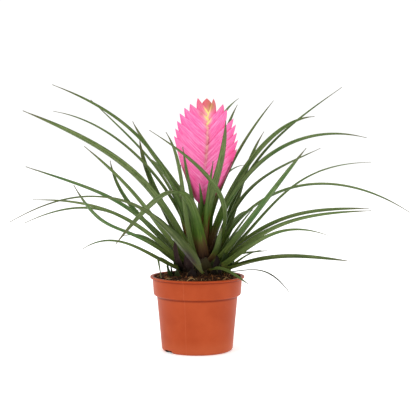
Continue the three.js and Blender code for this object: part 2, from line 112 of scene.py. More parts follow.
# A leaf: azimuth at the crown, sideways turn by the tip, blade width, roll about its own length,
# launch angle, reach of the tip from the plant's axis, height of the tip, angle of the tip, bow of
# the arch.
Leaf = namedtuple("Leaf", "azimuth turn blade roll launch reach height tip_angle bow")
LEAVES = [Leaf(*row) for row in [
    # left, from high to low
    (176, 30, 7, 25, 79, 148, 249, 19, 0.42),
    (160, 0, 5, -15, 77, 118, 240, 42, 0.42),
    (168, 0, 6, -15, 78, 150, 228, 10, 0.35),
    (203, 0, 9, 40, 66, 173, 226, 22, 0.42),
    (140, 0, 7, -25, 100, 93, 219, 57, 0.33),
    (151, 15, 9.5, -25, 58, 63, 201, 92, 0.26),
    (215, 0, 6, 25, 49, 127, 195, 37, 0.39),
    (152, 0, 6.5, -25, 43, 105, 180, 79, 0.33),
    (190, 15, 8, 25, 50, 172, 177, 20, 0.46),
    (200, 30, 6, 25, 40, 166, 163, 43, 0.5),
    (210, 0, 6.5, 25, 42, 171, 148, 2, 0.43),
    (158, 15, 5.5, -25, 40, 176, 119, -26, 0.46),
    (200, 0, 5.5, 25, 24, 118, 100, -31, 0.39),
    (149, 0, 4.5, 0, 43, 45, 113, 56, 0.38),
    # front, among them the broad leaf that arches over to the left and the one across the head
    (270, -48, 7, 0, 4, 213, 132, -33, 0.61),
    (252, -11, 11, 0, 76, 149, 113, -34, 0.65),
    (355, -120, 5.5, 0, 67, 83, 209, 71, 0.35),
    (240, 0, 5, 10, 58, 66, 207, 40, 0.34),
    (240, 0, 5, 0, 84, 37, 194, 75, 0.33),
    (262, 0, 4.5, 0, 100, 25, 160, 50, 0.43),
    (285, 0, 4.5, 0, 87, 36, 181, 65, 0.4),
    (296, 0, 9.5, 0, 100, 48, 218, 90, 0.39),
    (318, 0, 8.5, 0, 60, 24, 118, 85, 0.4),
    (196, 0, 9, 0, 71, 25, 139, 78, 0.4),
    (352, 0, 8, 0, 60, 50, 138, 52, 0.4),
    (198, 40, 2.5, 0, 31, 71, 76, -57, 0.59),
    (286, 20, 4, 20, 31, 70, 71, -33, 0.4),
    # right, from high to low
    (22, 0, 5.5, 12, 71, 150, 253, 33, 0.46),
    (50, -20, 6.5, 0, 94, 80, 239, 54, 0.29),
    (20, 0, 7, 40, 83, 117, 223, 2, 0.3),
    (6, 0, 8.5, 25, 80, 159, 202, -13, 0.42),
    (318, 0, 7.5, -25, 47, 122, 193, 45, 0.38),
    (35, 0, 6, 12, 68, 147, 192, 20, 0.45),
    (18, 0, 6, 0, 46, 177, 178, 1, 0.44),
    (346, 0, 7, 15, 68, 194, 134, -32, 0.45),
    (334, 15, 8.5, -25, 42, 159, 135, 4, 0.45),
    (354, -30, 8.5, 25, 49, 176, 142, 6, 0.41),
    (318, 0, 7.5, -15, 33, 146, 118, -12, 0.42),
    (328, 0, 8, 25, 21, 153, 94, -1, 0.44),
    (345, 0, 3.5, -12, 30, 57, 97, 13, 0.4),
    (30, 0, 4.5, 12, 43, 74, 91, 7, 0.39),
    (318, 0, 3, 12, 6, 103, 65, -44, 0.46),
    # behind the head
    (75, 0, 5, 0, 91, 147, 245, 12, 0.5),
    (65, 0, 6, 0, 77, 82, 236, 37, 0.35),
    (51, 0, 7, 0, 47, 99, 209, 44, 0.4),
    (55, 0, 4.5, 0, 95, 73, 175, 0, 0.4),
    (120, 0, 6, 0, 62, 45, 176, 90, 0.39),
    (84, 0, 8, 10, 56, 155, 158, -12, 0.4),
    (92, 0, 8, -15, 66, 140, 188, 6, 0.38),
    (101, 0, 8, 10, 40, 160, 138, -18, 0.4),
    (117, 0, 8, -10, 64, 130, 182, 14, 0.38),
    (128, 0, 7, 15, 44, 112, 128, 0, 0.38),
    (147, 0, 7, -15, 25, 96, 104, -14, 0.38),
    (62, 0, 8, 0, 36, 112, 126, -8, 0.4),
    (84, 0, 7, 12, 20, 132, 90, -26, 0.4),
    (112, 0, 7, -12, 18, 124, 88, -24, 0.38),
]]

# A ring of old sheaths round the crown's foot. Every other one is lower.
OLD_SHEATHS = Sizes(count=10, first_azimuth=24, width=14, reach=29, height=100, lower_by=8)
# Sheath colours by tone: 0 is purple-black, 0.5 rust brown, 1 green. Those of the ring, one by one.
SHEATH_TONES = (0.9, 0.6, 0.9, 0.7, 0.95, 1.0, 0.15, 0.64, 0.85, 1.0)
# Twice as many smaller ones between and below them, each at random within these limits.
SMALL_SHEATHS = Sizes(aside=0.3, outward=(-3, 1), upward=(-2, 1), tip_outward=(-1, 3), tip_upward=(7, 16),
                      width=(9, 15), tones=(0.1, 0.4, 0.6, 0.8, 0.95))
# Single sheaths at the front: azimuth, radius and height at the root and at the tip, width, tone.
FRONT_SHEATHS = [
    (221, 23, 78, 34, 109, 10, 0.24), (246, 23, 77, 25.5, 96, 10, 0.14),
    (247, 24.5, 69, 25.5, 82, 12, 0.05), (297, 23, 73, 24.8, 93, 13, 0.05),
    (200, 26, 67, 35, 85, 11, 0.95), (184, 25, 68, 30, 84, 10, 0.9), (222, 26, 66, 30, 80, 12, 0.8),
    (332, 23, 72, 30, 90, 10, 0.95), (268, 23, 70, 24, 82, 12, 0.55),
]
SCALE = Sizes(steps=16, ribs=10, end=0.985, twist=0.25, swerve=6, belly=0.22, belly_at=0.45, tear=0.16,
              tears=7, cup=0.3, thickness=0.5, edge_thinning=0.8)

# ---- flower head

HEAD = Sizes(foot=138.6, lean=3.3, half_width=31, half_thickness=4.6, step=0.42, edge=0.45,
             margin_slope=0.9, margin_drop=14, margin_fullness=0.14, margin_roll=0.35, keel_drop=22,
             spread_below=10, right_spread=2)
# One row a bract, top to bottom: sideways and up from the head's foot to the tip, and how far the
# outer edge spreads outward some way below the tip.
LEFT_BRACTS = [
    (-8.1, 101.2, 4.6), (-15.4, 95.7, 3.4), (-20.9, 92, 1.4), (-25.3, 86.7, 0.2), (-27.8, 79.6, 0),
    (-29.6, 72.5, -1.2), (-30.8, 65.4, -2), (-28.6, 55.5, -2.2), (-25.8, 46.5, -3.6),
    (-22, 36, -4.2), (-17.6, 26.5, -4.4), (-13, 17, -4.4),
]
RIGHT_BRACTS = [
    (6.6, 100.5, 5.2), (15.8, 95.3, 2.4), (19.2, 90.2, 0.6), (25.8, 82, -1.4), (28, 76.3, -1.2),
    (29, 68.7, -1.6), (30, 61.6, -2.4), (29.2, 53.1, -3), (26.2, 44, -4.6), (22, 35.5, -5),
    (17.2, 27, -5), (12.4, 18, -4.6),
]
BRACT_STEPS, BRACT_RIBS = 44, 14
CREST = Sizes(tip=(0.4, 100.8), half_width=6.5, depth=24, swell=1.6)
# The braid down the head's middle: how far it leans aside, between which heights, and how much
# lower the right side's bracts start.
MIDLINE = Sizes(lean=4.4, low=10, high=66, right_lower=4)

# Soft round marks on the head: strength, middle and reach, sideways and up from the head's foot.
SPOTS = dict(
    olive=[(0.85, 8, 93, 4, 4.5), (0.5, -1.5, 86, 2.5, 3)],
    coral=[(0.6, -16.5, 33, 3, 6)],
    hot=[(0.7, 28, 47, 5, 9), (0.4, -8.5, 24, 4, 7)],
    deep=[(0.45, 26.5, 39.5, 1.8, 3.2), (0.45, 1, 12, 3, 7)],
)
# Dark red strokes along the head's lower edges: start, end and reach.
STROKES = [((27.5, 41), (16, 17), 0.8), ((-14, 24), (-7, 8), 1.9)]

CAMERA = Sizes(aside=10.2, distance=1000, height=199, pitch=3.63, focal_pixels=1054.4, frame_pixels=416,
               sensor_width=36.0)


# ---- small mathematics

def lerp(a, b, share):
    return a + (b - a) * share


def clamp(value, low=0.0, high=1.0):
    return max(low, min(high, value))


def smooth(value, low, high):
    share = clamp((value - low) / (high - low))
    return share * share * (3 - 2 * share)


def between(value, rise_from, rise_to, fall_from, fall_to):
    """1 in a stretch with soft ends and 0 outside."""
    return smooth(value, rise_from, rise_to) * (1 - smooth(value, fall_from, fall_to))


def bell(distance, reach):
    """1 at no distance, falling softly to 0 some way past the reach."""
    return exp(-(distance / reach) ** 2)


def bezier(controls, t):
    a, b, c, d = controls
    u = 1 - t
    return a * u ** 3 + b * (3 * u * u * t) + c * (3 * u * t * t) + d * t ** 3


def polar(azimuth, radius, height, centre_x=PLANT_X):
    angle = radians(azimuth)
    return Vector((centre_x + radius * cos(angle), radius * sin(angle), height))


# ---- meshes

def add_object(name, data):
    made = bpy.data.objects.new(name, data)
    bpy.context.scene.collection.objects.link(made)
    return made


class Shape:
    """Gathers points, faces and per-point values, and becomes one Blender piece."""

    def __init__(self):
        self.points = []
        self.faces = []
        self.values = {}

    def add_point(self, point, **values):
        index = len(self.points)
        self.points.append(tuple(point))
        for key, value in values.items():
            self.values.setdefault(key, {})[index] = value
        return index

    def add_grid(self, grid, closed=False):
        """Faces between rows of point numbers. closed joins each row's end to its start."""
        for near, far in zip(grid, grid[1:]):
            count = len(near)
            for k in range(count if closed else count - 1):
                face = (near[k], near[(k + 1) % count], far[(k + 1) % count], far[k])
                corners = tuple(dict.fromkeys(face))
                if len(corners) > 2:
                    self.faces.append(corners)

    def add_rings(self, rings):
        """A closed body through rings of point numbers, with a face over each end."""
        self.add_grid(rings, closed=True)
        self.faces.append(tuple(rings[0][::-1]))
        self.faces.append(tuple(rings[-1]))

    def piece(self, name, material, slot, node=None, smooth_faces=True):
        mesh = bpy.data.meshes.new(name)
        mesh.from_pydata([tuple(c * MM for c in point) for point in self.points], [], self.faces)
        for key, known in self.values.items():
            layer = mesh.attributes.new(key, "FLOAT", "POINT")
            layer.data.foreach_set("value", [known.get(i, 0.0) for i in range(len(self.points))])
        cleaner = bmesh.new()
        cleaner.from_mesh(mesh)
        bmesh.ops.recalc_face_normals(cleaner, faces=cleaner.faces)
        cleaner.to_mesh(mesh)
        cleaner.free()
        mesh.validate()
        mesh.polygons.foreach_set("use_smooth", [smooth_faces] * len(mesh.polygons))
        mesh.materials.append(material)
        piece = add_object(name, mesh)
        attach(piece, ROOT)
        if node:
            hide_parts(node)
        return piece


def circle(shape, segments, radius, height, centre_x=0.0, **values):
    """A ring of new points round the axis. On the axis it is one point, over and over."""
    if radius == 0:
        return [shape.add_point((centre_x, 0, height), **values)] * segments
    return [shape.add_point(polar(360 * k / segments, radius, height, centre_x), **values)
            for k in range(segments)]


def lathe(shape, profile, segments, centre_x=0.0, **values):
    """A closed body of revolution."""
    rings = [circle(shape, segments, *point, centre_x, **values) for point in profile]
    shape.add_grid(rings, closed=True)


def tube(shape, path, radius_at, sides, **values):
    """A closed tube along a list of points."""
    rings = []
    for i, point in enumerate(path):
        ahead = path[min(i + 1, len(path) - 1)]
        behind = path[max(i - 1, 0)]
        along = (ahead - behind).normalized()
        side = (side - along * side.dot(along)).normalized() if rings else along.orthogonal().normalized()
        other = along.cross(side)
        radius = radius_at(i / (len(path) - 1))
        rings.append([shape.add_point(point + (side * cos(a) + other * sin(a)) * radius, **values)
                      for a in np.linspace(0, 2 * pi, sides, endpoint=False)])
    shape.add_rings(rings)


def blade_ring(shape, sizes, middle, side, up, half, thick, lift_at, **values):
    """Points once round a blade's section: over its top and back along its underside."""
    ring = []
    for under, order in ((0, range(sizes.ribs + 1)), (1, range(sizes.ribs, -1, -1))):
        for k in order:
            s = 2 * k / sizes.ribs - 1
            half_thick = (0.5 - under) * thick * (1 - sizes.edge_thinning * s * s)
            point = middle + side * (s * half) + up * (lift_at(s) + half_thick)
            ring.append(shape.add_point(point, across=s, under=under, **values))
    return ring


def sharpen(piece, angle):
    """Keeps edges sharper than the angle as crisp lines on a smooth-shaded mesh."""
    mesh = piece.data
    sharp = bmesh.new()
    sharp.from_mesh(mesh)
    for edge in sharp.edges:
        if len(edge.link_faces) == 2:
            edge.smooth = edge.calc_face_angle(0) < radians(angle)
    sharp.to_mesh(mesh)
    sharp.free()


def cut_away(piece, cutter):
    """Takes the cutter's space out of the piece, for good."""
    cut = piece.modifiers.new("cut", "BOOLEAN")
    cut.operation = "DIFFERENCE"
    cut.solver = "EXACT"
    cut.object = cutter
    graph = bpy.context.evaluated_depsgraph_get()
    made = bpy.data.meshes.new_from_object(piece.evaluated_get(graph))
    piece.modifiers.clear()
    piece.data = made


# ---- materials

class Wire:
    """What a node's output carries. Arithmetic on it makes the nodes that work it out."""

    def __init__(self, paint, socket):
        self.paint, self.socket = paint, socket

    def __add__(self, other):
        return self.paint.math("ADD", self, other)

    def __sub__(self, other):
        return self.paint.math("SUBTRACT", self, other)

    def __rsub__(self, other):
        return self.paint.math("SUBTRACT", other, self)

    def __mul__(self, other):
        return self.paint.math("MULTIPLY", self, other)

    def __truediv__(self, other):
        return self.paint.math("DIVIDE", self, other)

    def __abs__(self):
        return self.paint.math("ABSOLUTE", self)


class Paint:
    """A principled material and short calls for the nodes that feed it."""

    def __init__(self, name, **fixed):
        self.material = bpy.data.materials.new(name)
        self.material.use_nodes = True
        self.tree = self.material.node_tree
        self.finish(**fixed)

    def finish(self, **sources):
        """Feeds the shader's inputs, named in small letters, and gives the material."""
        shader = self.tree.nodes["Principled BSDF"]
        names = dict(specular="Specular IOR Level")
        for name, source in sources.items():
            self.feed(shader.inputs[names.get(name, name.replace("_", " ").title())], source)
        return self.material

    def feed(self, socket, source):
        if isinstance(source, Wire):
            self.tree.links.new(source.socket, socket)
        else:
            socket.default_value = source

    def node(self, kind, output, sources=(), **settings):
        """An output of a new node, with its settings made and its inputs fed."""
        made = self.tree.nodes.new("ShaderNode" + kind)
        for key, value in settings.items():
            setattr(made, key, value)
        for key, source in dict(sources).items():
            self.feed(made.inputs[key], source)
        return Wire(self, made.outputs[output])

    def values(self, names):
        return [self.node("Attribute", "Fac", attribute_name=name) for name in names.split()]

    def place(self):
        return self.node("TexCoord", "Object")

    def axes(self, where):
        return [self.node("SeparateXYZ", axis, {0: where}) for axis in "XYZ"]

    def vector(self, x, y, z):
        return self.node("CombineXYZ", 0, {0: x, 1: y, 2: z})

    def noise(self, where, scale, detail, roughness=0.55):
        sources = dict(Vector=where, Scale=scale, Detail=detail, Roughness=roughness)
        return self.node("TexNoise", "Fac", sources)

    def math(self, operation, first, second=0.0):
        return self.node("Math", 0, {0: first, 1: second}, operation=operation)

    def ramp(self, source, stops):
        made = self.tree.nodes.new("ShaderNodeValToRGB")
        self.feed(made.inputs["Fac"], source)
        elements = made.color_ramp.elements
        while len(elements) < len(stops):
            elements.new(0.5)
        for element, (position, colour) in zip(elements, stops):
            element.position = position
            element.color = srgb(*colour)
        return Wire(self, made.outputs["Color"])

    def mask(self, source, low, high):
        """0 up to the low value, 1 from the high one, and soft between them."""
        sources = {"Value": source, "From Min": low, "From Max": high}
        return self.node("MapRange", "Result", sources, interpolation_type="SMOOTHSTEP")

    def mix(self, share, first, second):
        return self.node("Mix", 2, {"Factor": share, 6: first, 7: second}, data_type="RGBA")

    def tint(self, colour, mask, most, *tint):
        """Mixes a tint in where the mask is 1, up to the share most."""
        return self.mix(mask * most, colour, srgb(*tint))

    def bump(self, height, strength, distance_mm, below=None):
        sources = dict(Height=height, Strength=strength, Distance=distance_mm * MM)
        if below is not None:
            sources["Normal"] = below
        return self.node("Bump", "Normal", sources)


def srgb(red, green, blue):
    """A linear colour from the 0 to 255 values that a screen shows."""
    def linear(channel):
        share = channel / 255
        return share / 12.92 if share <= 0.04045 else ((share + 0.055) / 1.055) ** 2.4
    return (linear(red), linear(green), linear(blue), 1.0)


def slot_shade_mask(paint, x, y, z):
    """1 on the walls of the two opposite notches, which are painted near black as shade, 0 elsewhere on
    the pot.
    """
    angle = radians(SLOTS.first_azimuth)
    half, inner = SLOTS.width / 2, POT.foot_radius - SLOTS.inset
    aside = abs(x * sin(angle) - y * cos(angle))
    radius = paint.math("SQRT", x * x + y * y)
    beside = 1 - paint.mask(aside, (half + 0.02) * MM, (half + 0.2) * MM)
    below = 1 - paint.mask(z, (SLOTS.height + 0.02) * MM, (SLOTS.height + 0.2) * MM)
    beyond = paint.mask(radius, (inner - 0.5) * MM, (inner - 0.1) * MM)
    return beside * below * beyond


def pot_material():
    """Terracotta-coloured plastic: cloudy, scuffed, with painted shade in its two corners under the lip
    and the step and on its notches' walls, and one mould line.
    """
    paint = Paint("terracotta_plastic", specular=0.12)
    where = paint.place()
    x, y, z = paint.axes(where)
    cloud = paint.noise(where, 38, 4)
    fine = paint.noise(where, 900, 2)
    colour = paint.mix(paint.mask(cloud, 0.3, 0.75), srgb(158, 62, 25), srgb(169, 71, 33))
    scuff = paint.mask(paint.noise(where, 210, 6, 0.7), 0.62, 0.78)
    colour = paint.tint(colour, scuff, 0.22, 184, 98, 68)
    # Painted shade in the two corners: a dark band just under the lip and another just under the step.
    under_lip = POT.height - POT.lip_depth - 0.4
    under_band = POT.band_foot - 1.9
    for height, reach, most in ((under_lip, 1.3, 0.6), (under_band, 1.7, 0.7)):
        painted_shade = 1 - paint.mask(abs(z - height * MM), 0.0, reach * MM)
        colour = paint.tint(colour, painted_shade, most, 98, 22, 6)
    worn_foot = 1 - paint.mask(z, 2 * MM, 16 * MM)
    colour = paint.tint(colour, worn_foot, 0.3, 198, 104, 66)
    beside = abs(paint.math("ARCTAN2", y, x) - radians(MOULD_LINE.azimuth - 360))
    line = 1 - paint.mask(beside, 0.0, radians(MOULD_LINE.half_width))
    colour = paint.tint(colour, line, 0.2, 214, 118, 84)
    # Painted shade: the notches' walls are coloured near black.
    colour = paint.mix(slot_shade_mask(paint, x, y, z), colour, srgb(6, 3, 2))
    relief = paint.bump(fine, 0.12, 0.12)
    relief = paint.bump(cloud, 0.1, 0.5, relief)
    relief = paint.bump(line, 0.4, 0.2, relief)
    return paint.finish(base_color=colour, roughness=fine * 0.16 + 0.36, normal=relief)


def peat_material():
    """Near black to brown clods with single paler grains."""
    paint = Paint("peat", roughness=0.95, specular=0.1)
    where = paint.place()
    clods = paint.noise(where, 330, 8, 0.7)
    grains = paint.noise(where, 1300, 4, 0.7)
    colour = paint.ramp(clods, [(0.36, (15, 9, 6)), (0.5, (48, 31, 19)), (0.66, (100, 63, 36))])
    colour = paint.mix(paint.mask(grains, 0.6, 0.7), colour, srgb(128, 82, 44))
    relief = paint.bump(grains, 0.6, 0.5, paint.bump(clods, 0.8, 1.5))
    return paint.finish(base_color=colour, normal=relief)


def crumb_material():
    """Crumbs from near black over brown to orange and tan bark."""
    paint = Paint("peat_crumb", roughness=0.9, specular=0.15)
    grains = paint.noise(paint.place(), 1500, 3)
    colour = paint.ramp(*paint.values("tone"), [
        (0.0, (22, 13, 9)), (0.45, (56, 34, 20)), (0.68, (96, 57, 31)), (0.86, (138, 82, 44)),
        (1.0, (168, 118, 70))])
    colour = paint.tint(colour, paint.mask(grains, 0.42, 0.7), 0.6, 36, 20, 12)
    return paint.finish(base_color=colour, normal=paint.bump(grains, 0.6, 0.4))


def fibre_material():
    """Peat fibres from dark brown to straw."""
    paint = Paint("peat_fibre", roughness=0.85, specular=0.2)
    streaks = paint.noise(paint.place(), 700, 3)
    colour = paint.ramp(*paint.values("tone"), [
        (0.0, (52, 28, 17)), (0.5, (98, 60, 32)), (0.8, (140, 94, 50)), (1.0, (188, 154, 102))])
    colour = paint.tint(colour, streaks, 0.4, 48, 28, 18)
    return paint.finish(base_color=colour, normal=paint.bump(streaks, 0.5, 0.3))


def blade_streaks(paint, length, width, detail):
    """Noise drawn out along a blade: how often it changes along it and across it."""
    dist, across, tone = paint.values("dist across tone")
    return paint.noise(paint.vector(dist * length, across * width, tone * 40), 1.4, detail)


def leaf_material():
    """Channelled blades: dark and banded above, partly as painted shade of the channel, paler below,
    bright inner bases, dark sheaths.
    """
    paint = Paint("leaf", specular=0.13)
    along, across, under, tone = paint.values("along across under tone")
    dist, stain, inner, age, rust = paint.values("dist stain inner age rust")
    half = abs(across)
    patches = blade_streaks(paint, 9, 1, 4)
    bands = blade_streaks(paint, 1.6, 4, 2)
    fine = blade_streaks(paint, 3, 13, 3)
    # Painted shade, partly: the top is darker than the underside, partly as the leaf's own colour and
    # partly as the shade inside the channel, and its middle is darker than its edges.
    upper = paint.ramp(tone, [(0.0, (44, 70, 22)), (0.4, (56, 80, 28)), (0.75, (66, 90, 36)),
                              (1.0, (46, 82, 36))])
    upper = paint.tint(upper, paint.mask(half, 0.3, 0.8), 0.5, 108, 127, 70)
    lower = paint.ramp(tone, [(0.0, (72, 98, 44)), (0.4, (92, 112, 62)), (0.75, (84, 106, 54)),
                              (1.0, (64, 108, 58))])
    blade = paint.mix(under, upper, lower)
    blade = paint.tint(blade, age, 0.75, 58, 70, 34)
    for source, low, high, most, mark in (
            (bands, 0.44, 0.6, 0.46, (140, 148, 98)),   # pale bands
            (fine, 0.47, 0.62, 0.6, (36, 54, 12)),      # dark veins
            (patches, 0.5, 0.72, 0.4, (42, 58, 16)),    # dark patches
            (half, 0.84, 1.0, 0.6, (36, 50, 14)),       # dark edges
            (along, 0.84, 1.0, 0.65, (96, 82, 66))):    # dry tips
        blade = paint.tint(blade, paint.mask(source, low, high), most, *mark)

    veined = paint.mask(fine, 0.42, 0.66)
    fresh = paint.mix(veined, srgb(44, 84, 8), srgb(84, 112, 24))
    shaded = paint.mix(veined, srgb(50, 64, 22), srgb(86, 99, 40))
    base = paint.mix(inner, shaded, fresh)
    colour = paint.mix(paint.mask(dist, 0.3, 0.95), base, blade)

    # The old leaf's lower part: a yellow-green edge, a dull green, and a purple patch on one side.
    edge = paint.mask(across, -0.3, 0.5) * (1 - paint.mask(dist, 0.9, 1.3))
    colour = paint.tint(colour, edge * age, 0.8, 70, 84, 18)
    low_part = 1 - paint.mask(dist, 0.7, 1.9)
    colour = paint.tint(colour, low_part * age, 0.6, 40, 44, 18)
    patch = (1 - paint.mask(across, 0.1, 0.7)) * (1 - paint.mask(abs(dist - 0.88), 0.06, 0.26))
    colour = paint.tint(colour, patch * age, 0.85, 30, 20, 22)

    # The sheath's colour reaches up to where the distance along the leaf equals its stain.
    smear = dist + (fine - 0.5) * 0.4
    depth = smear / paint.math("MAXIMUM", stain, 0.02)
    sheath = paint.ramp(depth, [(0.0, (24, 14, 12)), (0.3, (66, 44, 29)), (0.55, (80, 57, 31)),
                                (0.8, (82, 70, 33)), (1.0, (76, 86, 30))])
    rusty = rust * paint.mask(depth, 0.1, 0.5) * paint.mask(fine, 0.3, 0.55)
    sheath = paint.tint(sheath, rusty, 0.8, 102, 40, 24)
    colour = paint.mix(paint.mask(depth, 0.8, 1.25), sheath, colour)
    relief = paint.bump(fine, 0.5, 0.3)
    return paint.finish(base_color=colour, roughness=patches * 0.25 + 0.4, normal=relief)


def sheath_material():
    """Old sheaths: purple-black, rust brown or green above a dark foot, with papery edges and a painted
    greyish sheen.
    """
    paint = Paint("old_sheath", specular=0.1)
    along, across, tone = paint.values("along across tone")
    patches = blade_streaks(paint, 12, 1.5, 4)
    fine = blade_streaks(paint, 6, 12, 3)
    colour = paint.ramp(tone, [(0.0, (17, 10, 6)), (0.2, (42, 26, 27)), (0.5, (46, 25, 17)),
                               (0.75, (38, 44, 15)), (1.0, (36, 62, 19))])
    foot = along + (fine - 0.5) * 0.5
    colour = paint.mix(paint.mask(foot, 0.0, 0.55), srgb(20, 15, 9), colour)
    colour = paint.tint(colour, paint.mask(fine, 0.5, 0.66), 0.5, 20, 14, 10)
    # Painted sheen: greyish patches.
    colour = paint.tint(colour, paint.mask(patches, 0.56, 0.74), 0.15, 84, 70, 54)
    ragged = abs(across) + patches * 0.5
    colour = paint.tint(colour, paint.mask(ragged, 1.2, 1.4), 0.6, 150, 132, 84)
    relief = paint.bump(fine, 0.6, 0.4)
    return paint.finish(base_color=colour, roughness=patches * 0.4 + 0.35, normal=relief)


# The head's tints, in the order in which they are laid on.
HEAD_TINTS = dict(lines=(232, 66, 140), hot=(228, 48, 128), dusk=(206, 112, 116), coral=(200, 94, 90),
                  olive=(176, 124, 76), cream=(234, 182, 162), yellow=(222, 214, 120),
                  deep=(112, 32, 42))


def bract_material():
    """Pink bracts: veined, coral at the top, cream and yellow on the braid, dark red at the foot."""
    paint = Paint("bract", specular=0.25)
    along, across, tone = paint.values("along across tone")
    veins = paint.noise(paint.vector(along * 2.2, across * 12, tone * 30), 1.6, 4)
    colour = paint.mix(paint.mask(veins, 0.34, 0.68), srgb(234, 90, 158), srgb(243, 146, 194))
    for attribute, tint in HEAD_TINTS.items():
        colour = paint.mix(*paint.values(attribute), colour, srgb(*tint))
    relief = paint.bump(veins, 0.3, 0.35)
    return paint.finish(base_color=colour, roughness=veins * 0.15 + 0.45, normal=relief)


# ---- pot

def around(radius, height, *offsets):
    """Points of a section, each by how far outward and upward it lies from one place."""
    return [(radius + outward, height + upward) for outward, upward in offsets]


def pot_profile():
    """Radius and height along the pot's section: up its outside, over the lip, down its inside."""
    p = POT
    foot_centre = p.foot_radius - p.foot_round
    body_top_height = p.band_foot - 2.2
    under_lip = p.height - p.lip_depth
    underside = [(0, 0), (foot_centre * 0.5, 0)]
    rounded_foot = [(foot_centre + p.foot_round * sin(a), p.foot_round * (1 - cos(a)))
                    for a in np.radians(np.linspace(0, 90, 9))]
    body = [
        (lerp(p.foot_radius, p.body_top, 0.5), lerp(p.foot_round, body_top_height, 0.5)),
        (p.body_top, body_top_height),
    ]
    step = (around(p.body_top, p.band_foot, (0.2, -1.7), (0.8, -1.2))
            + around(p.band_foot_radius, p.band_foot, (-1.2, -0.7), (-0.4, -0.1), (0, 0.9)))
    band = around(p.band_top_radius, under_lip, (-0.05, -1.5), (0, -0.7), (0.7, -0.15))
    lip = (around(p.lip_radius, under_lip, (-0.6, 0.1), (-0.1, 0.4), (0, 0.8))
           + around(p.lip_radius, p.height, (0, -0.6), (-0.2, -0.15), (-0.7, 0)))
    inside = (around(POT_INSIDE, p.height, (0.6, 0), (0.1, -0.3), (0, -0.9))
              + around(p.band_foot_radius - p.wall, p.band_foot, (0, 0.9), (-0.8, -0.1))
              + around(p.body_top - p.wall, p.band_foot, (0, -1.2), (-0.1, -2.6)))
    inside_foot = [
        (p.foot_radius - p.wall, p.foot_round + 0.4),
        (p.foot_radius - p.wall - 1.6, p.floor),
        (0, p.floor),
    ]
    return underside + rounded_foot + body + step + band + lip + inside + inside_foot


def slot_cutter(azimuth):
    """A block with rounded long edges that reaches through the foot's corner at an azimuth."""
    inner, outer = POT.foot_radius - SLOTS.inset, POT.foot_radius + 2
    low, high = -1, SLOTS.height
    shaper = bmesh.new()
    bmesh.ops.create_cube(shaper, size=1)
    size = Vector((outer - inner, SLOTS.width, high - low)) * MM
    middle = Vector(((outer + inner) / 2, 0, (high + low) / 2)) * MM
    bmesh.ops.scale(shaper, vec=size, verts=shaper.verts)
    bmesh.ops.translate(shaper, vec=middle, verts=shaper.verts)
    outward = [e for e in shaper.edges if abs((e.verts[0].co - e.verts[1].co).x) > 0.1 * MM]
    bmesh.ops.bevel(shaper, geom=outward, offset=SLOTS.corner * MM, segments=3, affect="EDGES")
    turn = Matrix.Rotation(radians(azimuth), 4, "Z")
    bmesh.ops.transform(shaper, matrix=turn, verts=shaper.verts)
    mesh = bpy.data.meshes.new("slot_cutter")
    shaper.to_mesh(mesh)
    shaper.free()
    return add_object("slot_cutter", mesh)


def build_pot():
    """The nursery pot with its drainage notches."""
    shape = Shape()
    lathe(shape, pot_profile(), segments=160)
    pot_piece = shape.piece("nursery_pot", pot_material(), "pot_plastic", "pot")
    for k in range(SLOTS.count):
        cutter = slot_cutter(SLOTS.first_azimuth + 360 / SLOTS.count * k)
        cut_away(pot_piece, cutter)
        bpy.data.objects.remove(cutter)
    sharpen(pot_piece, angle=35)


# ---- peat

def soil_level(x, y):
    """Height of the peat at a point: a low mound, heaped against the plant, with clods."""
    s = SOIL
    share = clamp(hypot(x - PLANT_X * 0.5, y) / POT_INSIDE)
    mound = lerp(s.crown_height, s.wall_height, share ** s.mound_power)
    skirt = s.skirt * (1 - smooth(hypot(x - PLANT_X, y), s.skirt_from, s.skirt_to))
    clods = noise.fractal(Vector((x * s.clod_scale, y * s.clod_scale, 3.1)), 0.9, 2.1, 4)
    lumps = noise.fractal(Vector((x * s.lump_scale, y * s.lump_scale, 7.7)), 0.8, 2.0, 3)
    return mound + skirt + s.clod * clods + s.lump * lumps


def on_soil(at, lift):
    return Vector((at.x, at.y, soil_level(at.x, at.y) + lift))


def build_soil():
    """The peat plug: its uneven surface, and below it a plain body that fills the pot."""
    shape = Shape()
    segments = SOIL.segments
    outer = POT_INSIDE - SOIL.wall_gap
    rings = [[shape.add_point(on_soil(Vector((0, 0, 0)), 0))] * segments]
    for k in range(1, SOIL.rings + 1):
        radius = outer * k / SOIL.rings
        drop = SOIL.edge_drop * smooth(radius, outer - SOIL.edge_reach, outer)
        rings.append([shape.add_point(on_soil(polar(360 * j / segments, radius, 0, 0), -drop))
                      for j in range(segments)])
    below = [
        (outer - 0.3, 66),
        (POT.band_foot_radius - POT.wall - 0.5, POT.band_foot + 1.2),
        (POT.body_top - POT.wall - 0.5, POT.band_foot - 3),
        (POT.foot_radius - POT.wall - 0.6, POT.foot_round + 1),
        (POT.foot_radius - POT.wall - 2.4, POT.floor + 0.3),
        (0, POT.floor + 0.3),
    ]
    rings += [circle(shape, segments, *point) for point in below]
    shape.add_grid(rings, closed=True)
    shape.piece("peat_plug", peat_material(), "peat", "potting_soil")


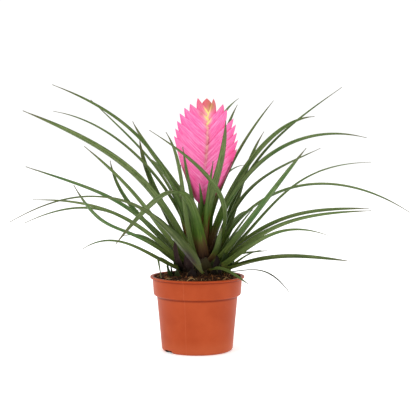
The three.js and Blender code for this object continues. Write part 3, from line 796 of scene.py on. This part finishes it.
def build_fibres(draw):
    """Loose peat fibres and root threads that lie on the soil, and a few that stand in an arch."""
    shape = Shape()
    f = FIBRES
    reach = POT_INSIDE - f.from_wall
    for _ in range(f.count):
        radius = lerp(f.nearest, reach, draw.random() ** f.crowding)
        at = polar(draw.uniform(0, 360), radius, 0, 0)
        heading = draw.uniform(0, 2 * pi)
        bend = draw.uniform(-f.bend, f.bend)
        length = draw.uniform(*f.length)
        hump = draw.uniform(*f.hump)
        path = []
        for i in range(f.steps + 1):
            path.append(on_soil(at, 0.1 + hump * sin(pi * i / f.steps)))
            at = at + Vector((cos(heading), sin(heading), 0)) * (length / f.steps)
            if at.length > reach:
                at = at * (reach / at.length)
            heading += bend
        thick = draw.uniform(*f.radius)
        tube(shape, path, lambda t: thick * (1 - 0.6 * t), 5, tone=draw.random())
    for ends, hump, thick in ARCHED_FIBRES:
        start, end = (on_soil(Vector((x, y, 0)), 0) for x, y in ends)
        path = [start.lerp(end, t) + Vector((0, 0, hump * sin(pi * t)))
                for t in np.linspace(0, 1, 11)]
        tube(shape, path, lambda t: thick * (1 - 0.4 * t), 6, tone=1.0)
    shape.piece("peat_fibres", fibre_material(), "peat")


def build_crumbs(draw):
    """Crumbs of bark and peat on the soil, each an uneven lump."""
    shape = Shape()
    c = CRUMBS
    reach = POT_INSIDE - c.from_wall
    ball = bmesh.new()
    bmesh.ops.create_icosphere(ball, subdivisions=2, radius=1)
    for _ in range(c.count):
        azimuth = draw.uniform(0, 360)
        at = polar(azimuth, lerp(c.nearest, reach, draw.random() ** c.crowding), 0, 0)
        size = Vector([draw.uniform(*limits) for limits in (c.long, c.wide, c.high)])
        turn = Matrix.Rotation(draw.uniform(0, pi), 3, "Z")
        turn = turn @ Matrix.Rotation(draw.uniform(-c.tilt, c.tilt), 3, "X")
        tone = draw.random() ** c.tone_power
        middle = on_soil(at, c.sunk * size.z)
        numbers = []
        for vertex in ball.verts:
            push = 1 + c.unevenness * noise.noise(vertex.co * 1.6 + middle)
            numbers.append(shape.add_point(middle + turn @ (vertex.co * size * push), tone=tone))
        for face in ball.faces:
            shape.faces.append(tuple(numbers[vertex.index] for vertex in face.verts))
    ball.free()
    shape.piece("peat_crumbs", crumb_material(), "peat", smooth_faces=False)


# ---- leaves

def leaf_controls(leaf):
    """The four control points of a leaf's middle line."""
    r = LEAF_ROOT
    steepness = clamp((leaf.launch - r.flat_launch) / (r.steep_launch - r.flat_launch))
    root_radius = lerp(r.low_radius, r.high_radius, steepness)
    root_height = lerp(r.low_height, r.high_height, steepness)
    handle = leaf.bow * hypot(leaf.reach - root_radius, leaf.height - root_height)
    start, end = radians(leaf.launch), radians(leaf.tip_angle)
    return (
        polar(leaf.azimuth, root_radius, root_height),
        polar(leaf.azimuth, root_radius + handle * cos(start), root_height + handle * sin(start)),
        polar(leaf.azimuth + leaf.turn / 2, leaf.reach - handle * cos(end),
              leaf.height - handle * sin(end)),
        polar(leaf.azimuth + leaf.turn, leaf.reach, leaf.height),
    )


def leaf_width(leaf, age, t, walked):
    """A young leaf is widest at its sheath, an old broad one where it rises from the peat."""
    o = OLD_LEAF
    taper = (1 - LEAF.taper * t) * (1 - t ** LEAF.tip_taper_power)
    sheath = min(LEAF.sheath_flare * leaf.blade, LEAF.widest_sheath)
    young = leaf.blade * taper + sheath * exp(-walked / LEAF.sheath_length)
    root = lerp(o.root_share, 1, smooth(walked, o.narrow_to, o.full_at))
    swell = o.swell * breadth(leaf) * bell(walked - o.swell_at, o.swell_reach)
    old = root * (leaf.blade * taper + swell)
    return max(lerp(young, old, age), LEAF.finest_tip)


def breadth(leaf):
    """0 for a narrow blade and 1 for a broad one."""
    return smooth(leaf.blade, OLD_LEAF.narrow_blade, OLD_LEAF.broad_blade)


def leaf_looks(leaf, draw):
    """What a leaf's colours depend on all over it, and the length in which they run their course."""
    s = STAIN
    tone = draw.random()
    stain = lerp(s.flat, s.steep, smooth(leaf.launch, s.flat_launch, s.steep_launch))
    stain *= draw.uniform(1 - s.vary, 1 + s.vary)
    pace = PACE
    rust = float(leaf.azimuth in RUSTY)
    if rust:
        stain = max(stain, s.rusty)
    if leaf.azimuth in GREEN_SHORT and leaf.reach < SHORT_REACH:
        pace, stain = SHORT_PACE, s.short
    age = 1 - smooth(leaf.launch, OLD_LEAF.old_launch, OLD_LEAF.young_launch)
    return dict(tone=tone, stain=stain, inner=smooth(leaf.launch, *INNER_LAUNCH), age=age, rust=rust), pace


def add_leaf(shape, leaf, draw):
    """A channelled blade: a fine top and underside joined at thin edges, closed at root and tip."""
    controls = leaf_controls(leaf)
    looks, pace = leaf_looks(leaf, draw)
    age = looks["age"]
    sway = draw.uniform(-LEAF.sway, LEAF.sway)
    phase = draw.uniform(0, 6.3)
    rings = []
    walked = 0.0
    previous = controls[0]
    for i in range(LEAF.steps + 1):
        t = min(i / LEAF.steps, LEAF.end)
        middle = bezier(controls, t)
        walked += (middle - previous).length
        previous = middle
        along = (bezier(controls, min(t + 0.01, 1)) - bezier(controls, max(t - 0.01, 0))).normalized()
        facing = radians(leaf.azimuth + leaf.turn * t)
        side = Vector((-sin(facing), cos(facing), 0))
        side = (side - along * side.dot(along)).normalized()
        side.rotate(Quaternion(along, radians(leaf.roll) * min(t / LEAF.roll_from, 1)))
        up = along.cross(side)
        drawn_aside = bell(walked - OLD_LEAF.shift_at, OLD_LEAF.shift_reach)
        shift = age * OLD_LEAF.shift * drawn_aside * breadth(leaf)
        shift += sway * sin(7 * t + phase) * smooth(t, 0, 0.3)
        middle = middle + side * shift
        width = leaf_width(leaf, age, t, walked)
        channel = lerp(LEAF.root_channel, LEAF.tip_channel, t)
        thick = lerp(LEAF.thickness, LEAF.tip_thickness, t)
        rings.append(blade_ring(
            shape, LEAF, middle, side, up, width / 2, thick,
            lambda s: channel * width * abs(s) ** LEAF.channel_power,
            along=t, dist=walked / pace, **looks))
    shape.add_rings(rings)


def build_leaves(draw):
    """All the leaves, as one piece."""
    shape = Shape()
    for leaf in LEAVES:
        add_leaf(shape, leaf, draw)
    shape.piece("leaves", leaf_material(), "leaf", "leaf_rosette")


def add_scale(shape, azimuth, root, tip, width, tone, draw):
    """A dead sheath that hugs the crown: a cupped, pointed scale with a torn edge."""
    c = SCALE
    twist = draw.uniform(-c.twist, c.twist)
    seed = draw.uniform(0, 90)
    start, end = polar(azimuth, *root), polar(azimuth + draw.uniform(-c.swerve, c.swerve), *tip)
    length = (end - start).length
    outward = polar(azimuth, 1, 0, 0)
    belly = start.lerp(end, c.belly_at) + outward * (c.belly * length)
    rings = []
    for i in range(c.steps + 1):
        t = min(i / c.steps, c.end)
        near, far = start.lerp(belly, t), belly.lerp(end, t)
        middle = near.lerp(far, t)
        along = (near.lerp(far, t + 0.01) - middle).normalized()
        side = outward.cross(along).normalized()
        side.rotate(Quaternion(along, twist * t))
        up = along.cross(side)
        ragged = 1 + c.tear * noise.noise(Vector((t * c.tears, seed, 0)))
        half = 0.5 * width * (1 - t ** 1.8) ** 0.8 * ragged
        rings.append(blade_ring(
            shape, c, middle, side, up, half, c.thickness, lambda s: c.cup * half * s * s,
            along=t, tone=tone, dist=length * t / PACE))
    shape.add_rings(rings)


def build_sheaths(draw):
    """The ring of old sheaths at the crown's foot, smaller ones, and single ones at the front."""
    shape = Shape()
    o, few = OLD_SHEATHS, SMALL_SHEATHS
    root_radius, root_height = LEAF_ROOT.low_radius, LEAF_ROOT.low_height
    for k, tone in enumerate(SHEATH_TONES):
        azimuth = o.first_azimuth + 360 / o.count * k
        tip = (o.reach, o.height - o.lower_by * (k % 2))
        add_scale(shape, azimuth, (root_radius, root_height - 1), tip, o.width, tone, draw)
    for k in range(2 * o.count):
        azimuth = o.first_azimuth + 180 / o.count * (k + draw.uniform(-few.aside, few.aside))
        radius = root_radius + draw.uniform(*few.outward)
        height = root_height + draw.uniform(*few.upward)
        tip = (radius + draw.uniform(*few.tip_outward), height + draw.uniform(*few.tip_upward))
        width = draw.uniform(*few.width)
        add_scale(shape, azimuth, (radius, height), tip, width, draw.choice(few.tones), draw)
    for azimuth, low_radius, low_height, high_radius, high_height, width, tone in FRONT_SHEATHS:
        add_scale(shape, azimuth, (low_radius, low_height), (high_radius, high_height), width, tone, draw)
    shape.piece("old_sheaths", sheath_material(), "leaf")


def build_stem():
    """The short stem under the leaves and the stalk that carries the flower head."""
    shape = Shape()
    c, s = CROWN, STALK
    profile = [
        (0, c.bottom), (c.root_radius - 1.5, c.bottom), (c.root_radius, c.bottom + 2),
        (c.root_radius, c.shoulder),
        *around(c.bulge_radius, c.bulge_height, (-0.6, -0.8), (-0.5, 0)),
        *around(c.waist_radius, c.waist_height, (3.4, -4), (0, 0), (-3, 6)),
        (s.radius + 1.6, c.neck), (s.radius, c.neck + 6), (s.radius - 0.6, s.top), (0, s.top),
    ]
    lathe(shape, profile, 48, PLANT_X, along=0.05, across=0.0, under=1.0, tone=0.2, dist=0.05,
          stain=0.2, inner=0.0, age=0.0, rust=0.0)
    shape.piece("stem_and_stalk", leaf_material(), "leaf")


# ---- flower head

def head_axis(v):
    """How far the braid lies aside at a height above the head's foot."""
    return MIDLINE.lean * smooth(v, MIDLINE.low, MIDLINE.high)


def envelope(u, v):
    """Half the head's thickness at a point of it: thin at the sides, the top and the foot."""
    across = clamp((u - head_axis(v)) / HEAD.half_width, -1, 1)
    upper = 1 - 0.45 * smooth(v, 60, 100)
    lower = 0.62 + 0.38 * smooth(v, 0, 35)
    return HEAD.half_thickness * upper * lower * (1 - 0.75 * across * across)


def add_bract(shape, keel_at, margin_at, swell_at, tone, braid=0.0):
    """A keeled bract as one closed body: a front and a back face that meet at the keel and tip."""
    faces = []
    for sign in (-1, 1):
        rows = []
        for i in range(BRACT_STEPS + 1):
            s = i / BRACT_STEPS
            row = []
            for j in range(BRACT_RIBS + 1):
                t = 1 - (1 - j / BRACT_RIBS) ** 1.7
                u, v = keel_at(s).lerp(margin_at(s), t)
                point = (PLANT_X + u, sign * swell_at(s, t), HEAD.foot + v)
                tints = head_tints(u, v, s, t, braid)
                row.append(shape.add_point(point, along=s, across=t, tone=tone, **tints))
            rows.append(row)
        shape.add_grid(rows)
        faces.append(rows)
    front, back = faces
    for column in (0, BRACT_RIBS):
        shape.add_grid([[row[column] for row in front], [row[column] for row in back]])
    for row in (0, BRACT_STEPS):
        shape.add_grid([front[row], back[row]])


def spots(name, u, v):
    """The strengths of a tint's soft round marks at a point of the head."""
    return [strength * bell(u - middle_u, reach_u) * bell(v - middle_v, reach_v)
            for strength, middle_u, middle_v, reach_u, reach_v in SPOTS[name]]


def stroke(u, v, start, end, reach):
    """A soft mark along a line on the head."""
    at, start, end = Vector((u, v)), Vector(start), Vector(end)
    share = clamp((at - start).dot(end - start) / (end - start).length_squared)
    return bell((at - start.lerp(end, share)).length, reach)


def head_tints(u, v, s, t, braid):
    """How far a point of the head takes on each tint.

    u and v are sideways and up from its foot, s runs along the bract and t from keel to margin.
    """
    aside = u - head_axis(v)
    top_yellow = clamp(0.9 * braid * smooth(t, 0.8, 0.97) * (1 - smooth(abs(aside), 0.8, 5)))
    glow = 0.34 * bell(aside, 3.6) * between(v, 74, 80, 88, 95)
    crest_coral = 0.9 * smooth(v, 84, 98) * bell(aside, 13)
    braid_olive = 0.3 * bell(aside, 1.5) * between(v, 28, 40, 62, 74)
    pale_bases = bell(aside, 1.6) * smooth(t, 0.8, 1.0) * (1 - smooth(s, 0.04, 0.12))
    low_hot = 0.3 * (1 - smooth(v, 8, 30))
    margin_lines = 0.25 * (1 - smooth(t, 0.72, 0.86)) + 0.22 * bell(t - 0.88, 0.03)
    maroon = [stroke(u, v, *marks) for marks in STROKES]
    dark_foot = 0.75 * (1 - smooth(v, 1, 15))
    outline = lerp(7, 30, smooth(v, 0, 62)) + 5 * (aside > 0) * smooth(v, 4, 24)
    low_shade = 0.8 * smooth(abs(aside) / outline, 0.86, 1.02) * (1 - smooth(v, 26, 44))
    return dict(
        yellow=top_yellow + glow * (1 - top_yellow),
        coral=clamp(max(crest_coral, *spots("coral", u, v))),
        olive=clamp(sum(spots("olive", u, v)) + braid_olive),
        dusk=0.5 * bell(aside, 2.4) * between(v, 30, 52, 74, 82),
        cream=clamp(0.6 * pale_bases * smooth(v, 30, 58) * (1 - braid)),
        hot=clamp(sum(spots("hot", u, v)) + low_hot),
        lines=clamp(margin_lines),
        deep=clamp(max(dark_foot, low_shade, *maroon, *spots("deep", u, v))),
    )


def side_bract(shape, row, tone):
    """One bract of the two ranks, from its foot on the braid to its tip at the head's edge."""
    tip_u, tip_v, spread = row
    side = copysign(1, tip_u)
    on_right = side > 0
    tip = Vector((tip_u + HEAD.lean, tip_v))
    spread += HEAD.right_spread * on_right * smooth(tip_v, 80, 92)
    margin_v = tip_v - max(HEAD.margin_slope * abs(tip_u), HEAD.margin_drop)
    margin_v -= MIDLINE.right_lower * on_right * smooth(tip_v, 40, 60)
    keel_v = max(margin_v - HEAD.keel_drop, 0)
    keel = (
        Vector((head_axis(keel_v), keel_v)),
        Vector((head_axis(keel_v) + 0.55 * tip_u, keel_v + 0.06 * (tip_v - keel_v))),
        tip + Vector((side * spread, -HEAD.spread_below)),
        tip,
    )
    margin = (
        Vector((head_axis(margin_v) - 1.2 * side, max(margin_v, keel_v + 3))),
        Vector((head_axis(margin_v) + 0.3 * tip_u, margin_v + 0.34 * (tip_v - margin_v))),
        Vector((HEAD.lean + 0.8 * tip_u, tip_v - HEAD.margin_fullness * (tip_v - margin_v))),
        tip,
    )

    def swell_at(s, t):
        rim_u, rim_v = bezier(margin, s)
        rim = max(envelope(rim_u, rim_v) + HEAD.step * (1 - s * s), HEAD.edge)
        roll = HEAD.margin_roll * smooth(t, 0.9, 1.0) * (1 - s)
        return lerp(HEAD.edge, rim, t ** 0.7) - roll

    braid = smooth(margin_v, 70, 79)
    add_bract(shape, lambda s: bezier(keel, s), lambda s: bezier(margin, s), swell_at, tone, braid)


def crest_bract(shape, tone):
    """The bract in the middle of the head's top."""
    half_width, depth = CREST.half_width, CREST.depth
    tip = Vector(CREST.tip) + Vector((HEAD.lean, 0))
    foot = Vector((HEAD.lean, tip.y - depth))

    def edge_at(side):
        controls = (foot, tip + Vector((side * half_width, -0.6 * depth)),
                    tip + Vector((side * half_width * 1.3, -0.25 * depth)), tip)
        return lambda s: bezier(controls, s)

    def swell_at(s, t):
        return HEAD.edge + CREST.swell * (1 - s) * sin(pi * t)

    add_bract(shape, edge_at(-1), edge_at(1), swell_at, tone)


def build_head(draw):
    """The flower head: both ranks of bracts and the crest."""
    shape = Shape()
    for row in LEFT_BRACTS + RIGHT_BRACTS:
        side_bract(shape, row, draw.random())
    crest_bract(shape, draw.random())
    shape.piece("flower_bracts", bract_material(), "bract", "flower_head")


# ---- stage

def build_camera():
    data = bpy.data.cameras.new("camera")
    data.sensor_width = CAMERA.sensor_width
    data.lens = CAMERA.focal_pixels / CAMERA.frame_pixels * CAMERA.sensor_width
    data.clip_start = 0.05
    camera = add_object("camera", data)
    camera.location = Vector((CAMERA.aside, -CAMERA.distance, CAMERA.height)) * MM
    camera.rotation_euler = (radians(90 - CAMERA.pitch), 0, 0)
    bpy.context.scene.camera = camera


# Where the lights look: the plant's middle. Lights are given in metres and watts.
LIT_PLACE = Vector((0, 0, 0.13))


def area_light(name, place, size, power):
    """A round soft light."""
    data = bpy.data.lights.new(name, "AREA")
    data.shape = "DISK"
    data.size = size
    data.energy = power
    lamp = add_object(name, data)
    lamp.location = place
    lamp.rotation_euler = (LIT_PLACE - Vector(place)).to_track_quat("-Z", "Y").to_euler()


def build_floor():
    half = 6.0
    corners = [(-half, -half, 0), (half, -half, 0), (half, half, 0), (-half, half, 0)]
    floor_mesh = bpy.data.meshes.new("floor")
    floor_mesh.from_pydata(corners, [], [(0, 1, 2, 3)])
    paint = Paint("pale_floor", specular=0.35, roughness=0.9, emission_color=(1, 1, 1, 1),
                  emission_strength=0.3)
    tint = paint.mix(paint.noise(paint.place(), 3, 2), srgb(244, 244, 244), srgb(248, 248, 248))
    floor_mesh.materials.append(paint.finish(base_color=tint))
    floor = add_object("floor", floor_mesh)


def build_lights():
    world = bpy.data.worlds.new("studio")
    world.use_nodes = True
    inputs = world.node_tree.nodes["Background"].inputs
    inputs["Color"].default_value = (1, 1, 1, 1)
    inputs["Strength"].default_value = 1.08
    bpy.context.scene.world = world
    area_light("key", (-0.9, -1.1, 1.3), 0.9, 7)
    area_light("fill", (1.2, -0.9, 0.9), 1.0, 2)
    area_light("top", (0, 0.3, 1.6), 1.2, 6)


# ---- assembly

bpy.context.scene.view_settings.view_transform = "Standard"
build_camera()
build_floor()
build_lights()
draws = random.Random(20)
build_pot()
build_soil()
build_fibres(draws)
build_crumbs(draws)
build_stem()
build_sheaths(draws)
build_leaves(draws)
build_head(draws)
